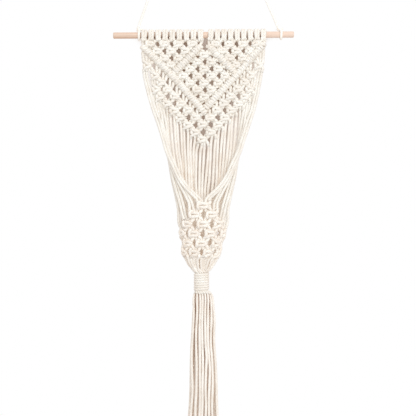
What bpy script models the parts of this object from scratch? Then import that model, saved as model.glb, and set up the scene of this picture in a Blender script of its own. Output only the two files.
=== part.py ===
"""Macrame wall hanging with a plant pocket, knotted from eighteen doubled cotton cords on a wooden dowel.

Lengths are in millimetres up to the last step, where everything is turned to metres. X runs to the right,
+Z up and -Y towards the viewer. The origin is the point on the wall hook where the hanging cord rests.
"""

from math import acos, atan2, cos, pi, radians, sin, tan

import bmesh
import bpy
from mathutils import Vector

MM = 0.001
GAP = 0.4  # clearance between pieces that touch
CORD_SIDES = 8
TURN_STEPS = 20  # around a ring of cord

# The dowel, and what is tied round it.
DOWEL_LENGTH = 290.0
DOWEL_RADIUS = 5.0
DOWEL_CHAMFER = 0.8
DOWEL_CENTRE = Vector((4.1, 0.0, -285.4))
DOWEL_TILT = radians(0.35)  # the right end hangs a little higher
LOOP_RADIUS = 10.3  # outside of the cords that go round the dowel
LOOP_BORE = DOWEL_RADIUS + 0.45
LOOP_STEPS = 16  # around the sleeve of loops
CREST_FALL = 1.6  # the loops' outside falls by this much between two knots

# The hanging cord and its two ends.
HANGING_RADIUS = 2.0
HOOK_BEND = 8.0  # radius of the cord's middle line over the hook
KNOT_LIFT = 8.9  # from the dowel's axis to the middle of a knot
# Ends of the hanging cord: (name, x, knot offset along the dowel, half sizes of the knot).
LEFT_HITCH = ("left_hitch", -99.7, -0.4, Vector((2.8, 3.6, 3.2)))
RIGHT_HITCH = ("right_hitch", 129.6, -3.0, Vector((4.2, 3.6, 3.4)))

# Mounting knots: (name, left end, width of one knot), nine knots to a row.
KNOTS_IN_ROW = 9
MOUNTING_ROWS = (("left_mounting_knots", -96.6, 11.2), ("right_mounting_knots", 10.7, 10.3))

# The knotted panel.
PANEL_Y = -7.5
PANEL_THICKNESS = 10.0
PANEL_TOP_DROP = LOOP_RADIUS + 0.05
PANEL_LEFT_EDGE = ((-96.0, -302.0), (-97.6, -326.0), (-95.2, -342.0), (-92.8, -358.0), (-88.0, -379.0))
PANEL_RIGHT_EDGE = ((91.2, -385.6), (96.0, -374.0), (100.8, -334.0), (103.4, -300.0))
PANEL_TIP = ((-8.2, -459.2), (14.6, -459.2))
HOLE_HALF_WIDTH = 4.0
HOLE_HALF_HEIGHT = 4.8
HOLE_CORNER = 0.3  # share of each half size where the hole's eight corners lie

# Nets of holes between square knots: (middle x, first row z, pitch x, pitch z, holes in each row).
HOLE_NETS = (
    (-46.4, -303.0, 23.0, 11.2, (3, 2, 1)),
    (57.4, -302.2, 22.2, 11.2, (3, 2, 1)),
    (6.0, -330.4, 22.7, 11.0, (1, 2, 3, 2, 3, 2, 1)),
)
# Slanting lines of holes in the lower band: (first x, first z, step x, step z, holes).
HOLE_LINES = (
    (-7.2, -429.8, -11.4, 11.6, 6),
    (14.6, -429.8, 11.9, 11.0, 5),
    (4.6, -416.8, -1.2, -25.0, 2),
)
CENTRE_SLOT = (7.4, -303.6, 3.0, 6.0)  # x, z, half width, half height

# The cords that hang straight down behind the pocket, two to a tooth.
BACK_TEETH = 10
BACK_TOP = (-52.4, 61.6)
TOOTH_SHARE = 0.76  # of the pitch, the rest is the slit
BACK_THICKNESS = 5.0
SPINE_HEIGHT = 5.0  # of the band that joins a comb's teeth along the panel's edge
SLANT_DROP = 1.45  # straight down for each unit square to the panel's slanting edge
# Levels of the back cords: (z, middle x, half width, middle y, thickness).
BACK_LEVELS = (
    (-480.0, 4.0, 36.5, PANEL_Y, BACK_THICKNESS),
    (-507.0, 4.0, 33.0, PANEL_Y, BACK_THICKNESS),
    (-534.0, 4.0, 29.5, PANEL_Y, BACK_THICKNESS),
    (-565.0, 4.2, 27.0, PANEL_Y, BACK_THICKNESS),
    (-592.0, 4.2, 25.0, PANEL_Y, BACK_THICKNESS),
    (-622.0, 3.0, 20.0, -7.2, 5.4),
    (-645.0, 1.4, 13.0, -6.6, 5.8),
    (-665.2, 0.8, 6.4, -6.1, 6.0),
)
BACK_MERGE_Z = -592.0  # the slits close below this level

# The pocket: a half-round net of six rows of knots that opens upwards behind its V-shaped edge.
POCKET_COLUMNS = 24
KNOT_PITCH = 6  # columns from one knot to the next in a row
KNOT_HALF = 2  # columns on each side of a knot's middle
POCKET_ROWS = (-559.2, -573.6, -588.8, -603.2, -618.7, -634.1)
KNOT_HALF_HEIGHT = 5.4
FULL_ROW = 4  # the net reaches its full width in this row
GATHER_LEVELS = (-646.4, -656.0, -665.2)
# Sections of the pocket: (z, middle x, half width, depth, back edge y, thickness), measured to mid cloth.
POCKET_SECTIONS = (
    (-552.8, 4.6, 38.0, 21.0, -10.4, 8.0),
    (-569.6, 4.6, 38.0, 23.0, -10.4, 8.0),
    (-592.0, 4.8, 35.8, 24.0, -10.4, 8.0),
    (-608.0, 4.0, 35.0, 23.5, -10.4, 8.0),
    (-622.4, 2.6, 31.5, 22.0, -10.4, 7.6),
    (-635.2, 1.0, 28.0, 20.0, -10.4, 7.0),
    (-646.4, 0.6, 21.5, 16.0, -10.3, 6.2),
    (-656.0, 0.6, 13.0, 11.0, -10.0, 5.4),
    (-665.2, 0.8, 5.0, 5.0, -9.7, 4.8),
)

# The cords that run from the panel's sides to the pocket, two to a tooth. The outermost pair at the top
# passes in front of the others and ends in the pocket's highest knot.
SIDE_TOOTH = 4.6
SIDE_STEPS = 12
SIDE_COMBS = (("left_side_cords", -83.6, 8.8, 1), ("right_side_cords", 87.4, -7.0, -1))
SIDE_BOWS = (1.5, 1.35, 1.2, 1.0)  # how late each pair swings inwards
SIDE_RISES = (8.0, 4.0, 1.5, 0.0)  # how far each pair stands in front half way down

# The wrapped gathering knot and the tassel under it.
BUNDLE_Y = -9.5
WRAP_X = 0.8
WRAP_TOP = -665.6
WRAP_BOTTOM = -695.0
WRAP_TURNS = 7
WRAP_CREST = 12.0
WRAP_VALLEY = 11.0
WRAP_BORE = 8.1
NECK_RADIUS = 7.7
TASSEL_LOCKS = 12
TASSEL_CORE = 1.2  # radius of the hollow between the locks
LOCK_PLACES = (-0.5, 0.0, 0.5)  # left edge, crest and right edge of a lock
LEAST_SLIT = 0.08  # share of a lock that its edges stand back where it isn't slit
NECK_LEVELS = 2  # the locks are joined above this level
LOCK_ENDS = (0.0, 7.0, -3.0, 4.0, 9.0, 1.0, -4.0, 5.0, 0.0, 8.0, 3.0, -2.0)
# Levels of the tassel: (z, middle x, half width, half depth, share of each lock that is slit).
TASSEL_LEVELS = (
    (WRAP_TOP, WRAP_X, NECK_RADIUS, NECK_RADIUS, 0.0),
    (WRAP_BOTTOM - GAP, WRAP_X, NECK_RADIUS, NECK_RADIUS, 0.0),
    (-699.2, 2.2, 14.5, 11.5, 0.08),
    (-737.6, 3.2, 18.6, 14.5, 0.14),
    (-780.8, 2.9, 20.5, 15.5, 0.16),
    (-811.0, 2.6, 20.8, 16.0, 0.16),
    (-856.0, 3.0, 23.4, 17.0, 0.18),
    (-896.0, 3.2, 25.4, 18.0, 0.18),
    (-950.0, 3.2, 26.8, 18.6, 0.2),
    (-996.0, 3.2, 27.4, 19.0, 0.2),
)


def clear_scene():
    for obj in list(bpy.data.objects):
        bpy.data.objects.remove(obj, do_unlink=True)


def material(name, rgb, roughness):
    made = bpy.data.materials.new(name)
    made.use_nodes = True
    shader = made.node_tree.nodes["Principled BSDF"]
    shader.inputs["Base Color"].default_value = (*rgb, 1.0)
    shader.inputs["Roughness"].default_value = roughness
    shader.inputs["Metallic"].default_value = 0.0
    return made


def cotton(name):
    """Natural off-white cotton cord."""
    return material(name + "_cotton", (0.86, 0.80, 0.71), 0.9)


def add_object(name, data, finish):
    obj = bpy.data.objects.new(name, data)
    data.materials.append(finish)
    bpy.context.scene.collection.objects.link(obj)
    return obj


def object_from(bm, name, finish):
    """Turns a bmesh in millimetres into an object in metres."""
    bmesh.ops.scale(bm, vec=(MM, MM, MM), verts=bm.verts)
    bmesh.ops.recalc_face_normals(bm, faces=bm.faces)
    mesh = bpy.data.meshes.new(name)
    bm.to_mesh(mesh)
    bm.free()
    mesh.shade_smooth()
    mesh.set_sharp_from_angle(angle=radians(35))
    return add_object(name, mesh, finish)


def between(table, value):
    """The table's other columns at a level, straight between its rows, whose first column falls."""
    rows = list(zip(table, table[1:]))
    for above, below in rows:
        if value >= below[0]:
            share = (above[0] - value) / (above[0] - below[0])
            return [a + (b - a) * share for a, b in zip(above[1:], below[1:])]
    return list(table[-1][1:])


def turned(name, profile, segments, finish, axis):
    """A closed ring of the profile's (along, radius) points, turned about the X or Z axis."""
    bm = bmesh.new()
    rings = []
    for step in range(segments):
        angle = 2 * pi * step / segments
        across, up = cos(angle), sin(angle)
        if axis == "X":
            ring = [bm.verts.new((s, r * across, r * up)) for s, r in profile]
        else:
            ring = [bm.verts.new((r * across, r * up, s)) for s, r in profile]
        rings.append(ring)
    for step, ring in enumerate(rings):
        following = rings[(step + 1) % segments]
        for i in range(len(profile)):
            j = (i + 1) % len(profile)
            bm.faces.new((ring[i], ring[j], following[j], following[i]))
    return object_from(bm, name, finish)


def on_dowel(obj):
    """Puts an object that was made about the X axis on the dowel's own axis."""
    obj.location = DOWEL_CENTRE * MM
    obj.rotation_euler = (0.0, -DOWEL_TILT, 0.0)
    return obj


def dowel_z(x):
    return DOWEL_CENTRE.z + (x - DOWEL_CENTRE.x) * tan(DOWEL_TILT)


def openwork(name, grid, kept, finish, around=False):
    """A closed solid of cloth from rows of (front, back) points, with the cells that kept() names.

    Where around is true the last column joins the first.
    """
    bm = bmesh.new()
    columns = len(grid[0])
    cells = columns if around else columns - 1
    verts = {}

    def vert(row, column, side):
        key = (row, column % columns, side)
        if key not in verts:
            verts[key] = bm.verts.new(grid[row][column % columns][side])
        return verts[key]

    def filled(row, column):
        if around:
            column %= columns
        return 0 <= row < len(grid) - 1 and 0 <= column < cells and kept(row, column)

    for row in range(len(grid) - 1):
        for column in range(cells):
            if not filled(row, column):
                continue
            corners = ((row, column), (row + 1, column), (row + 1, column + 1), (row, column + 1))
            neighbours = ((row, column - 1), (row + 1, column), (row, column + 1), (row - 1, column))
            for side in (0, 1):
                bm.faces.new([vert(*corner, side) for corner in corners][:: 1 - 2 * side])
            for index, neighbour in enumerate(neighbours):
                if not filled(*neighbour):
                    here, there = corners[index], corners[(index + 1) % 4]
                    bm.faces.new((vert(*here, 1), vert(*there, 1), vert(*there, 0), vert(*here, 0)))
    return object_from(bm, name, finish)


# --- dowel and hanging cord -----------------------------------------------------------------------------


def make_dowel():
    half = DOWEL_LENGTH / 2
    bm = bmesh.new()
    bmesh.ops.create_cone(
        bm,
        cap_ends=True,
        segments=32,
        radius1=DOWEL_RADIUS,
        radius2=DOWEL_RADIUS,
        depth=DOWEL_LENGTH,
    )
    rims = [edge for edge in bm.edges if abs(abs(edge.verts[0].co.z + edge.verts[1].co.z) - 2 * half) < 0.01]
    bmesh.ops.bevel(bm, geom=rims, offset=DOWEL_CHAMFER, segments=1, affect="EDGES")
    for vert in bm.verts:
        vert.co = (vert.co.z, vert.co.y, -vert.co.x)
    wood = material("pale_wood", (0.84, 0.66, 0.49), 0.6)
    return on_dowel(object_from(bm, "dowel", wood))


def tangent_point(centre, radius, end, side):
    """Where a straight leg from end leaves the bend over the hook, in the plane y = 0."""
    away = end - centre
    turn = acos(radius / away.length)
    angle = atan2(away.z, away.x) + side * turn
    return centre + Vector((radius * cos(angle), 0.0, radius * sin(angle)))


def smooth_route(route, spacing):
    """Points about spacing apart on a curve that passes through the route's points."""
    points = []
    for i in range(len(route) - 1):
        start, end = route[i], route[i + 1]
        before = route[i - 1] if i else start * 2 - end
        after = route[i + 2] if i + 2 < len(route) else end * 2 - start
        length = (end - start).length
        steps = max(1, round(length / spacing))
        into = (end - before) * (length / (length + (start - before).length))
        out = (after - start) * (length / (length + (after - end).length))
        for step in range(steps):
            t = step / steps
            a, b = 2 * t**3 - 3 * t**2 + 1, t**3 - 2 * t**2 + t
            c, d = -2 * t**3 + 3 * t**2, t**3 - t**2
            points.append(start * a + into * b + end * c + out * d)
    return points + [route[-1]]


def knot_top(name, x, offset, radii):
    """Where the hanging cord comes out of a knot, with the clearance that its slanting end needs."""
    return Vector((x + offset, 0.0, dowel_z(x) + KNOT_LIFT + radii.z + 2 * GAP))


def hanging_route():
    """Left knot, over the hook, right knot: two straight legs and one bend."""
    centre = Vector((0.0, 0.0, HANGING_RADIUS - HOOK_BEND))
    left, right = knot_top(*LEFT_HITCH), knot_top(*RIGHT_HITCH)
    left_bend = tangent_point(centre, HOOK_BEND, left, -1)
    right_bend = tangent_point(centre, HOOK_BEND, right, 1)
    crown = centre + Vector((0.0, 0.0, HOOK_BEND))
    legs = 6
    route = [left.lerp(left_bend, step / legs) for step in range(legs)]
    route += [left_bend, crown]
    route += [right_bend.lerp(right, step / legs) for step in range(legs + 1)]
    return route


def make_hanging_cord():
    points = smooth_route(hanging_route(), 2.8 * 2 * HANGING_RADIUS)
    curve = bpy.data.curves.new("hanging_cord", "CURVE")
    curve.dimensions = "3D"
    curve.bevel_depth = HANGING_RADIUS * MM
    curve.bevel_resolution = 2
    curve.use_fill_caps = True
    spline = curve.splines.new("POLY")
    spline.points.add(len(points) - 1)
    for target, point in zip(spline.points, points):
        target.co = (*(point * MM), 1.0)
    return add_object("hanging_cord", curve, cotton("hanging_cord"))


def make_hitch(name, x, offset, radii):
    """One end of the hanging cord: a turn round the dowel with its knot on top."""
    middle = LOOP_BORE + HANGING_RADIUS
    profile = []
    for step in range(CORD_SIDES):
        angle = 2 * pi * (step + 0.5) / CORD_SIDES
        profile.append((HANGING_RADIUS * cos(angle), middle + HANGING_RADIUS * sin(angle)))
    ring = turned(name, profile, TURN_STEPS, cotton(name), "X")
    bm = bmesh.new()
    bmesh.ops.create_icosphere(bm, subdivisions=2, radius=1.0)
    bmesh.ops.scale(bm, vec=radii, verts=bm.verts)
    bmesh.ops.translate(bm, vec=(offset, 0.0, KNOT_LIFT), verts=bm.verts)
    knot = object_from(bm, name + "_knot_guide", cotton(name + "_knot"))
    knot.hide_render = True
    knot.display_type = "WIRE"
    union = ring.modifiers.new("knot", "BOOLEAN")
    union.operation = "UNION"
    union.solver = "EXACT"
    union.object = knot
    place = Vector((x, 0.0, dowel_z(x))) * MM
    for obj in (ring, knot):
        obj.location = place
        obj.rotation_euler = (0.0, -DOWEL_TILT, 0.0)
    return ring


# --- knotted cords --------------------------------------------------------------------------------------


def make_mounting_row(name, left, pitch):
    """A row of lark's head knots on the dowel, drawn as one sleeve with a crest for each knot."""
    start = left - DOWEL_CENTRE.x
    end = start + KNOTS_IN_ROW * pitch
    valley = LOOP_RADIUS - CREST_FALL
    profile = [(end, LOOP_BORE), (start, LOOP_BORE), (start, valley)]
    for knot in range(KNOTS_IN_ROW):
        first = start + knot * pitch
        profile.append((first + 0.2 * pitch, LOOP_RADIUS))
        profile.append((first + 0.8 * pitch, LOOP_RADIUS))
        profile.append((first + pitch, valley))
    return on_dowel(turned(name, profile, LOOP_STEPS, cotton(name), "X"))


def panel_outline():
    left_x, right_x = PANEL_LEFT_EDGE[0][0], PANEL_RIGHT_EDGE[-1][0]
    top = ((right_x, dowel_z(right_x) - PANEL_TOP_DROP), (left_x, dowel_z(left_x) - PANEL_TOP_DROP))
    return [*PANEL_LEFT_EDGE, *PANEL_TIP, *PANEL_RIGHT_EDGE, *top]


def hole(x, z, half_width=HOLE_HALF_WIDTH, half_height=HOLE_HALF_HEIGHT):
    """The eight corners of a soft diamond."""
    near_x, near_z = HOLE_CORNER * half_width, HOLE_CORNER * half_height
    quarter = ((half_width, near_z), (near_x, half_height))
    corners = [*quarter, *[(-a, b) for a, b in quarter[::-1]]]
    corners += [(-a, -b) for a, b in corners]
    return [(x + a, z + b) for a, b in corners]


def panel_holes():
    holes = [hole(*CENTRE_SLOT)]
    for middle, first, pitch_x, pitch_z, rows in HOLE_NETS:
        for row, count in enumerate(rows):
            for i in range(count):
                holes.append(hole(middle + (i - (count - 1) / 2) * pitch_x, first - row * pitch_z))
    for x, z, step_x, step_z, count in HOLE_LINES:
        holes += [hole(x + i * step_x, z + i * step_z) for i in range(count)]
    return holes


def make_panel():
    """The knotted net: one flat piece with a hole between each four knots."""
    curve = bpy.data.curves.new("knotted_panel", "CURVE")
    curve.dimensions = "2D"
    curve.fill_mode = "BOTH"
    curve.extrude = PANEL_THICKNESS / 2 * MM
    for outline in [panel_outline(), *panel_holes()]:
        spline = curve.splines.new("POLY")
        spline.points.add(len(outline) - 1)
        spline.use_cyclic_u = True
        for target, (x, z) in zip(spline.points, outline):
            target.co = (x * MM, z * MM, 0.0, 1.0)
    panel = add_object("knotted_panel", curve, cotton("knotted_panel"))
    panel.rotation_euler = (pi / 2, 0.0, 0.0)
    panel.location = (0.0, PANEL_Y * MM, 0.0)
    return panel


def panel_lower_edge(x):
    """Height of the panel's lower edge, a V with a short flat tip."""
    corners = [PANEL_LEFT_EDGE[-1], *PANEL_TIP, PANEL_RIGHT_EDGE[0]]
    for (x0, z0), (x1, z1) in zip(corners, corners[1:]):
        if x <= x1:
            return z0 + (z1 - z0) * (x - x0) / (x1 - x0)
    return corners[-1][1]


def front_and_back(x, y, z, thickness):
    return (Vector((x, y - thickness / 2, z)), Vector((x, y + thickness / 2, z)))


def below_panel(x, drop, thickness):
    """Front and back points under the panel's lower edge, the drop measured square to that edge."""
    return front_and_back(x, PANEL_Y, panel_lower_edge(x) - drop * SLANT_DROP, thickness)


def make_back_cords():
    """A comb of straight cords from the panel's lower edge to the gathering knot."""
    shares = []
    for tooth in range(BACK_TEETH):
        shares += [(tooth + 0.5 + side * TOOTH_SHARE / 2) / BACK_TEETH for side in (-1, 1)]
    left, right = BACK_TOP
    grid = []
    for drop in (GAP, GAP + SPINE_HEIGHT):
        grid.append([below_panel(left + (right - left) * s, drop, BACK_THICKNESS) for s in shares])
    for z, middle, half, y, thickness in BACK_LEVELS:
        row = [front_and_back(middle + half * (2 * s - 1), y, z, thickness) for s in shares]
        grid.append(row)

    def kept(row, column):
        merged = row >= 2 and BACK_LEVELS[row - 2][0] <= BACK_MERGE_Z
        return column % 2 == 0 or row == 0 or merged

    return openwork("back_cords", grid, kept, cotton("back_cords"))


def pocket_point(column, z, offset=0.0):
    """A point of the pocket net, offset outwards from the middle of its cloth."""
    middle, width, depth, back, _ = between(POCKET_SECTIONS, z)
    angle = pi * column / POCKET_COLUMNS - pi / 2
    normal = Vector((depth * sin(angle), -width * cos(angle), 0.0)).normalized()
    return Vector((middle + width * sin(angle), back - depth * cos(angle), z)) + normal * offset


def pocket_margin(row):
    """Columns outside the net on each side of a knot row, counted from 1."""
    return KNOT_PITCH // 2 * (FULL_ROW - min(row, FULL_ROW))


def make_pocket():
    levels = []
    for z in POCKET_ROWS:
        levels += [z + KNOT_HALF_HEIGHT, z - KNOT_HALF_HEIGHT]
    levels += GATHER_LEVELS
    grid = []
    for z in levels:
        half = between(POCKET_SECTIONS, z)[-1] / 2
        columns = range(POCKET_COLUMNS + 1)
        grid.append([(pocket_point(c, z, half), pocket_point(c, z, -half)) for c in columns])
    rows = len(POCKET_ROWS)

    def kept(level, column):
        row = min(level // 2 + 1, rows)
        margin = pocket_margin(row)
        if not margin <= column < POCKET_COLUMNS - margin:
            return False
        is_knot_level = level % 2 == 0 and level < 2 * rows
        is_first_gather = level == 2 * rows
        if not (is_knot_level or is_first_gather):
            return True
        first = POCKET_COLUMNS // 2 if row % 2 else POCKET_COLUMNS // 2 - KNOT_PITCH // 2
        from_knot = (column - first + KNOT_HALF) % KNOT_PITCH
        shoulder = column in (margin, POCKET_COLUMNS - 1 - margin)
        return from_knot < 2 * KNOT_HALF or shoulder

    return openwork("pocket_net", grid, kept, cotton("pocket_net"))


def side_tooth_end(tooth, side):
    """Where a tooth meets the pocket's slanting edge, above the outer knot of its row."""
    column = pocket_margin(tooth + 1) + KNOT_PITCH / 4
    if side < 0:
        column = POCKET_COLUMNS - column
    return pocket_point(column, POCKET_ROWS[tooth] + KNOT_HALF_HEIGHT) + Vector((0.0, 0.0, GAP))


def side_tooth_edge(tooth, x, side, shift):
    """(front, back) points down one edge of a tooth, from the panel to the pocket."""
    top = Vector((x, PANEL_Y, panel_lower_edge(x) - (GAP + SPINE_HEIGHT) * SLANT_DROP))
    end = side_tooth_end(tooth, side)
    points = [below_panel(x + shift, GAP, SIDE_TOOTH)]
    for step in range(SIDE_STEPS + 1):
        t = step / SIDE_STEPS
        place = top.lerp(end, t)
        place.x = top.x + (end.x - top.x) * t ** SIDE_BOWS[tooth] + shift
        place.y -= SIDE_RISES[tooth] * 4 * t * (1 - t)
        points.append(front_and_back(*place, SIDE_TOOTH))
    return points


def make_side_cords(name, first_x, pitch, side):
    """A comb of four crossing pairs of cords from the panel's side to the pocket's slanting edge."""
    columns = []
    for tooth in range(len(SIDE_BOWS)):
        x = first_x + tooth * pitch
        columns += [side_tooth_edge(tooth, x, side, edge * side * SIDE_TOOTH / 2) for edge in (-1, 1)]
    if side < 0:
        columns = columns[::-1]
    grid = [list(row) for row in zip(*columns)]

    def kept(row, column):
        return column % 2 == 0 or row == 0

    return openwork(name, grid, kept, cotton(name))


def make_wrap():
    """The gathering knot: turns of cord round the bundle."""
    height = WRAP_TOP - WRAP_BOTTOM
    profile = [(WRAP_TOP, WRAP_BORE), (WRAP_BOTTOM, WRAP_BORE), (WRAP_BOTTOM, WRAP_VALLEY)]
    for turn in range(WRAP_TURNS):
        profile.append((WRAP_BOTTOM + (turn + 0.5) / WRAP_TURNS * height, WRAP_CREST))
        profile.append((WRAP_BOTTOM + (turn + 1.0) / WRAP_TURNS * height, WRAP_VALLEY))
    wrap = turned("gathering_knot", profile, TURN_STEPS, cotton("gathering_knot"), "Z")
    wrap.location = (WRAP_X * MM, BUNDLE_Y * MM, 0.0)
    return wrap


def tassel_point(middle, width, depth, angle, z):
    return Vector((middle + width * cos(angle), BUNDLE_Y + depth * sin(angle), z))


def lock_columns(lock, slit):
    """(angle, share of the full radius) for the left edge, crest and right edge of one lock."""
    for place in LOCK_PLACES:
        share = place * (1 - max(slit, LEAST_SLIT))
        bulge = 1.0 - slit * abs(place)
        yield 2 * pi * (lock + share) / TASSEL_LOCKS, bulge


def make_tassel():
    """The cord ends under the gathering knot, in locks with slits between them."""
    grid = []
    for level, (z, middle, width, depth, slit) in enumerate(TASSEL_LEVELS):
        is_last = level == len(TASSEL_LEVELS) - 1
        row = []
        for lock in range(TASSEL_LOCKS):
            end = z + LOCK_ENDS[lock] if is_last else z
            for angle, bulge in lock_columns(lock, slit):
                outer = tassel_point(middle, width * bulge, depth * bulge, angle, end)
                inner = tassel_point(middle, TASSEL_CORE, TASSEL_CORE, angle, end)
                row.append((outer, inner))
        grid.append(row)

    def kept(level, column):
        is_between_locks = (column + 1) % len(LOCK_PLACES) == 0
        return level < NECK_LEVELS or not is_between_locks

    return openwork("tassel", grid, kept, cotton("tassel"), around=True)


def main():
    clear_scene()
    make_dowel()
    make_hanging_cord()
    make_hitch(*LEFT_HITCH)
    make_hitch(*RIGHT_HITCH)
    for row in MOUNTING_ROWS:
        make_mounting_row(*row)
    make_panel()
    make_back_cords()
    for comb in SIDE_COMBS:
        make_side_cords(*comb)
    make_pocket()
    make_wrap()
    make_tassel()


main()
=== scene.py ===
"""The looks of a macrame wall hanging: every strand of cotton cord, knotted as the real one is, on its wooden stick.

Thirty-six strands hang from the stick. Each one is a single line that runs through all its knots, from the
stick to its cut end. The line is then swept into twisted cord, and cut into the regions of the CAD nodes.
"""

import random
from math import cos, pi, radians, sin, tan

import bpy
import numpy as np
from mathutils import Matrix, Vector
from mathutils.kdtree import KDTree


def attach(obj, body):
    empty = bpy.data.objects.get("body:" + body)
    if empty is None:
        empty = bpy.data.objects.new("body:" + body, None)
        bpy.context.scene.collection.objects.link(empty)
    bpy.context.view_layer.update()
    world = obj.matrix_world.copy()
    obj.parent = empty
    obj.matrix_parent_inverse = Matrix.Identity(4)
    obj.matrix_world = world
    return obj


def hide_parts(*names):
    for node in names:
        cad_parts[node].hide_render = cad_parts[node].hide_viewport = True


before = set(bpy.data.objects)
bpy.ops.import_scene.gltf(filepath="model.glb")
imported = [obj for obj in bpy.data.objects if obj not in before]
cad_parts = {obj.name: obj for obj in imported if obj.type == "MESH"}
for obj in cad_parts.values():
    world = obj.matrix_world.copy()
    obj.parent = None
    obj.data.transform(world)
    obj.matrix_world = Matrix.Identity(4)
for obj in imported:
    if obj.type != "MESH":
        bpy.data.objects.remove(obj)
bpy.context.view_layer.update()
rng = random.Random(36)

# ---- sizes, in millimetres unless they say otherwise
MM = 0.001
SQUARE = 1.6  # the knotting chart's squares: half a strand wide
HOOK = (201.0, -144.0)  # the hook's column and row on the chart; it is the frame's origin
PANEL_Y = -7.5  # middle of the panel's thickness

CORD = 2.6  # the main cord's radius
THIN_CORD = 2.0  # the hanging cord's
LAY = 17.0  # length of one full turn of the cord's three plies
RING_STEP = 2.0  # from one ring of a swept cord to the next
FINE = 6  # steps of a smooth line from one place to the next
PLIES = 3
SIDES = 4 * PLIES
PLY_DEPTH = 0.05  # how deep the grooves between plies are, as a share of the radius
CREST_RISE = 0.03  # how far the plies' crests stand out past it
CUT_END = 0.6  # a cut end's place in the crest colour and its painted groove shade, between a groove's 0 and a crest's 1
MM_TO_CM = 0.1  # the lengths along a cord that its finish reads are in centimetres

DOWEL_MIDDLE = (4.1, -285.4)
DOWEL_RADIUS = 5.0
DOWEL_TILT = tan(radians(0.35))

STRANDS = range(1, 37)
OPPOSITE = 37  # a strand's number and its opposite's make this

# The lark's heads on the stick: first strand, first head's column, columns to the next head.
HEADS = {"left": (1, 144.1, 7.05), "right": (19, 210.9, 6.58)}
HEADS_IN_ROW = 9
HALF_HEAD = 0.2  # from the middle of a head to each of its legs, as a share of the way to the next head
PRESSED = 0.92  # how far out a leg's middle lies from the stick's surface, in radii of the cord
BAR_DROP = 4.0  # from the stick's underside to the bar
BAR_WOBBLE = 0.4
# One half of a head, each place as outwards, y, up: the bar, from the head's middle and the bar's height, its turn
# upwards, from the leg and the bar's height, the leg's start, from the leg and the stick's middle, and its end behind
# the bar, from the leg and the underside of the cord on the stick.
HEAD_BAR = ((0.0, -9.6, -0.4), (1.5, -9.4, 0.0))
HEAD_TURN = (-0.6, -9.0, 2.4)
HEAD_START = (-0.3, -8.4, -3.4)
HEAD_ROUND = (12, 50, 90, 135, 180, 225, 258)  # degrees round the stick, from its front over its top
HEAD_END = ((0.0, -2.4, -0.6), (0.3, -5.2, -3.2))

# The two upper nets: first knot's column, columns to the next knot, first row, rows to the next.
NETS = {"left": (151.0, 14.0, 44.2, 7.0), "right": (257.6, -13.8, 44.2, 7.0)}
CENTRE_NET = (205.0, 14.0, 55.2, 6.95)
CENTRE_ROWS = (1, 2, 3, 4, 3, 2, 1)  # knots in each row of the centre net
CENTRE_TOP = ((17, 203.2, 50.6), (20, 207.0, 50.6))  # where two strands lie above it: strand, column, row
CENTRE_TOP_THICK = 0.92
# The diagonal lines of hitches, from the stick downwards. They stand a little in front of the knots beside them.
RIDGE = 1.5
OUTER_LINES = {
    "left": ((143, 47), (171, 73.6), (200.6, 108)),
    "right": ((262.5, 44), (237, 73.6), (205.9, 108)),
}
MEETING_LINE = ((201.2, 108.8), (205.4, 112.6))
INNER_LINES = {"left": ((200, 46.3), (173, 73.2)), "right": ((208.9, 46.2), (235.2, 72.3))}
# The lower band: its two diagonal rows of square knots, as column, row, width. Each next knot is two strands on.
UPPER_BAND = (
    (147.8, 65.5, 0.85), (155.6, 75.8, 0.85), (161.6, 82.4, 0.95), (168.2, 89.4, 1), (175.2, 96.5, 1),
    (182.2, 103.6, 1), (189, 110.4, 1), (196.2, 117.6, 1), (203.3, 124.6, 1),
)
BAND_KNOT = (1.04, 1.05)  # width and height of its knots
LOWER_BAND = (
    (156.6, 89.2, 0.8), (161.2, 96.6, 0.95), (167.6, 103.6, 1), (174.6, 110.6, 1),
    (181.2, 117.6, 1), (188.2, 124.9, 1), (195.6, 132.2, 1), (202.9, 139.4, 1),
)
MIRROR = 203.4  # the column that the lower half is symmetrical about

# The four crossing pairs of the left side, outermost first: column, row, forward.
SIDE_PAIRS = (
    ((144.9, 71, 0), (146.9, 82, 1), (149.8, 93, 2), (154.8, 110, 3), (160.6, 127, 5), (164.6, 140, 7),
     (168, 152, 9), (173.2, 163, 11), (179.5, 177, 13), (187, 187.6, 15), (194, 194.5, 16), (199.4, 199.4, 16)),
    ((153.4, 94.5, 0), (158, 110, 1), (162, 127, 2), (165.4, 140, 3), (168.4, 152, 5), (172, 163, 7),
     (177.6, 177, 9), (185.4, 192, 12), (191.2, 204, 14)),
    ((158.2, 101.8, 0), (161.8, 115, 0), (165, 128, -1), (167.2, 141, -1), (169.6, 155, 0), (172.6, 170, 2),
     (176.8, 187, 5), (181.6, 203, 8), (184.4, 215, 9)),
    ((164.4, 108.8, -1), (165.4, 120, -3), (166.8, 135, -4), (168.8, 150, -5), (170.9, 162, -5), (173.2, 177, -4),
     (176.8, 193, -2), (180.2, 210, 0), (180.6, 224, 0)),
)
PAIR_APART = ((150, 2.7), (200, 3.1))  # columns between the two strands of a crossing pair, at these rows
PAIR_OPENS = ((0, 1.3), (14, 0.8), (34, 0.0))  # columns more than that, so many rows below its knot
RIGHT_LEAN = (  # columns outwards at these rows, on the right only
    (65, -1.4), (90, -1), (106, 0.4), (118, 0.8), (130, 1), (145, 0.3), (160, 0),
)
DRIFT = ((0, 0.0), (236, -0.2), (258, -1.5), (272, -1.9))  # how far the lower rows hang left of the middle
SLACK = 0.92  # thickness of a strand that hangs free, where the plies are pulled long
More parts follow.
